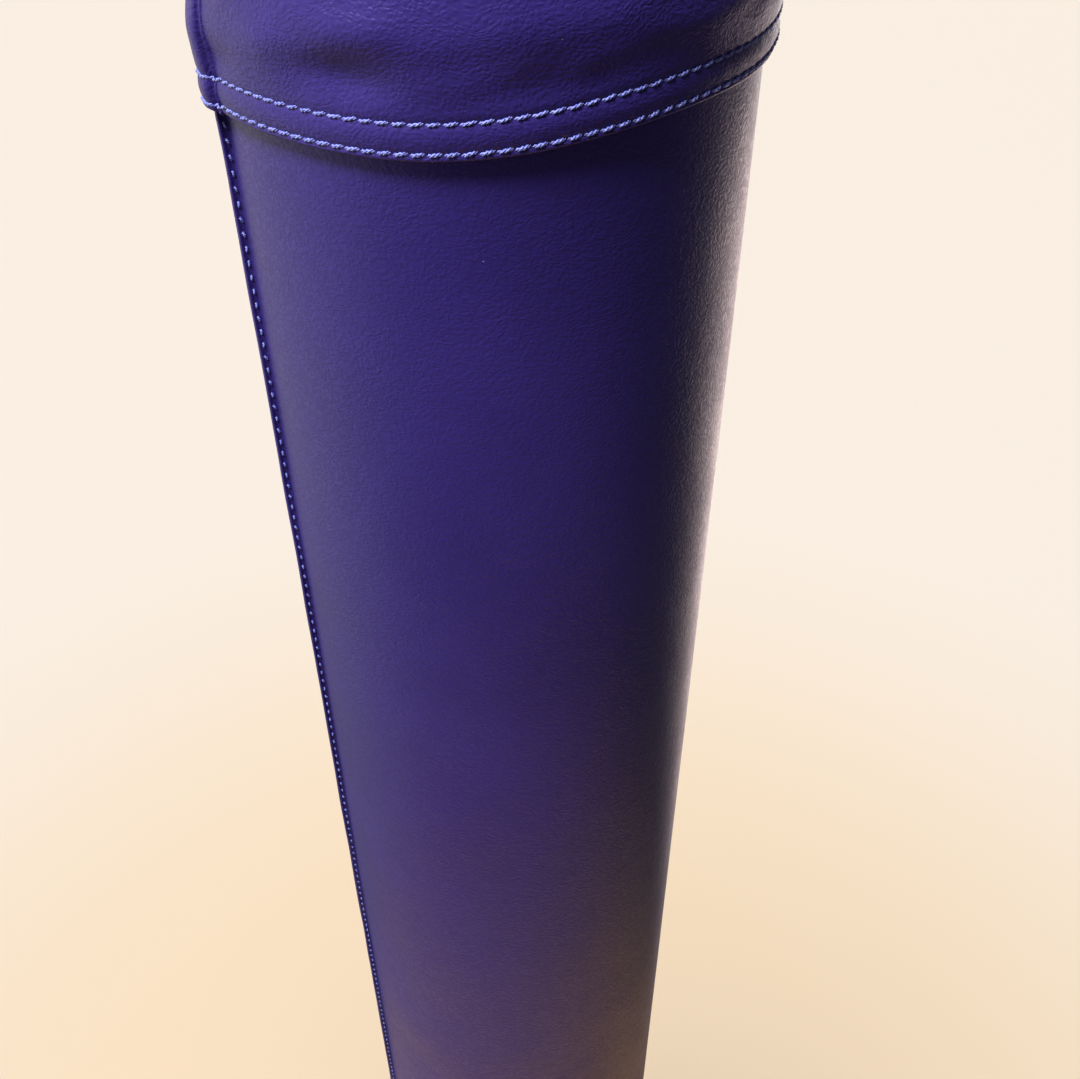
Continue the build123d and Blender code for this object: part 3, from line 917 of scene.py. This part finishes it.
def stageFinish():
    f = Finish("paleFloor")
    at = f.place()
    away = f.node("ShaderNodeVectorMath", {"operation": "LENGTH"}, {0: at}, out=1)
    cloud = f.noise(at, 1.4, 2.0)
    f.feed(Base_Color=f.mix(f.steps(away, stage["nearTo"], stage["farFrom"]), stage["near"], stage["far"]))
    f.feed(Roughness=f.steps(cloud, 0.2, 0.8, 0.75, 0.85))
    return f.material


floorMesh = bpy.data.meshes.new("floor")
side = stage["reach"]
corners = [(-side, -side, 0), (side, -side, 0), (side, side, 0), (-side, side, 0)]
floorMesh.from_pydata(corners, [], [(0, 1, 2, 3)])
floorMesh.materials.append(stageFinish())
floor = bpy.data.objects.new("floor", floorMesh)
bpy.context.scene.collection.objects.link(floor)
floor.visible_glossy = False
floor.visible_diffuse = False

# the room by direction: brighter to the left and behind, dim in front, warm from below
# behind is a bright patch past the right side that only mirrored rays see
room = {
    "base": 0.12,
    "left": (1.35, 1.30, 1.05, 1),
    "back": (1.15, 0.98, 0.92, 1),
    "behind": (5.4, 4.3, 3.9, 1),
    "below": (1.7, 1.0, 0.50, 1),
    "seen": (0.955, 0.868, 0.785, 1),
    "leftSpan": (-0.45, -0.98),
    "backSpan": (0.42, 0.92),
    "belowSpan": (-0.82, -0.95),
    "behindSpans": ((0.08, 0.30), (0.34, 0.76), (-0.24, -0.42)),
}


def studioWorld():
    world = bpy.data.worlds.new("studio")
    bpy.context.scene.world = world
    f = Finish("studio", world, Strength=1.0)
    way = f.node("ShaderNodeTexCoord", out="Generated")
    x, y, z = (f.node("ShaderNodeSeparateXYZ", sockets={0: way}, out=i) for i in range(3))
    dim = (room["base"], room["base"] * 0.95, room["base"] * 0.95, 1)
    sides = f.mix(f.steps(x, *room["leftSpan"]), dim, room["left"])
    walls = f.mix(f.steps(y, *room["backSpan"]), sides, room["back"])
    low = f.mix(f.steps(z, *room["belowSpan"]), walls, room["below"])
    seen, glossy = (f.node("ShaderNodeLightPath", out=name) for name in ("Is Camera Ray", "Is Glossy Ray"))
    spanX, spanY, spanZ = room["behindSpans"]
    beyond = f.steps(x, *spanX) * f.steps(y, *spanY) * f.steps(z, *spanZ)
    around = f.mix(beyond * glossy, low, room["behind"])
    f.feed(Color=f.mix(seen, around, room["seen"]))


studioWorld()


def addLight(name, kind, place, target, power, colour, onFloor, **shape):
    data = bpy.data.lights.new(name, kind)
    data.energy = power
    data.color = colour
    for key, value in shape.items():
        setattr(data, key, value)
    lamp = bpy.data.objects.new(name, data)
    lamp.location = place
    lamp.rotation_euler = (Vector(target) - Vector(place)).to_track_quat("-Z", "Y").to_euler()
    lamp.visible_camera = False
    bpy.context.scene.collection.objects.link(lamp)
    lit = bpy.data.collections.new(name + "Lit")
    lit.objects.link(floor)
    lamp.light_linking.receiver_collection = lit
    lit.collection_objects[0].light_linking.link_state = "INCLUDE" if onFloor else "EXCLUDE"
    return lamp


addLight("floorSun", "SUN", (-0.5, -0.3, 3.0), (0, 0, 0), 2.3, (1.0, 0.95, 0.89), True, angle=0.9)
addLight("keyLight", "AREA", (-0.74, -0.66, 2.7), (0, 0, 0.9), 98, (1.0, 0.98, 0.98), False, size=0.6)
addLight("rimLight", "AREA", (1.1, 2.0, 0.85), (0, 0, 0.8), 20, (1.0, 0.92, 0.90), False,
         shape="RECTANGLE", size=0.8, size_y=1.0)

bpy.context.scene.view_settings.view_transform = "Standard"

view = {"away": 0.334, "aboveHem": 0.1005, "down": 39.7, "right": 2.28, "roll": -0.14, "lens": 38.33}
cameraData = bpy.data.cameras.new("camera")
cameraData.sensor_width = 36
cameraData.lens = view["lens"]
cameraData.clip_start = 0.01
camera = bpy.data.objects.new("camera", cameraData)
bpy.context.scene.collection.objects.link(camera)
aim = Matrix.Rotation(math.radians(-view["right"]), 4, "Z")
aim = aim @ Matrix.Rotation(math.radians(90 - view["down"]), 4, "X")
aim = aim @ Matrix.Rotation(math.radians(view["roll"]), 4, "Z")
camera.matrix_world = Matrix.Translation((0, -view["away"], hemHeight + view["aboveHem"])) @ aim
bpy.context.scene.camera = camera
print("stage made")
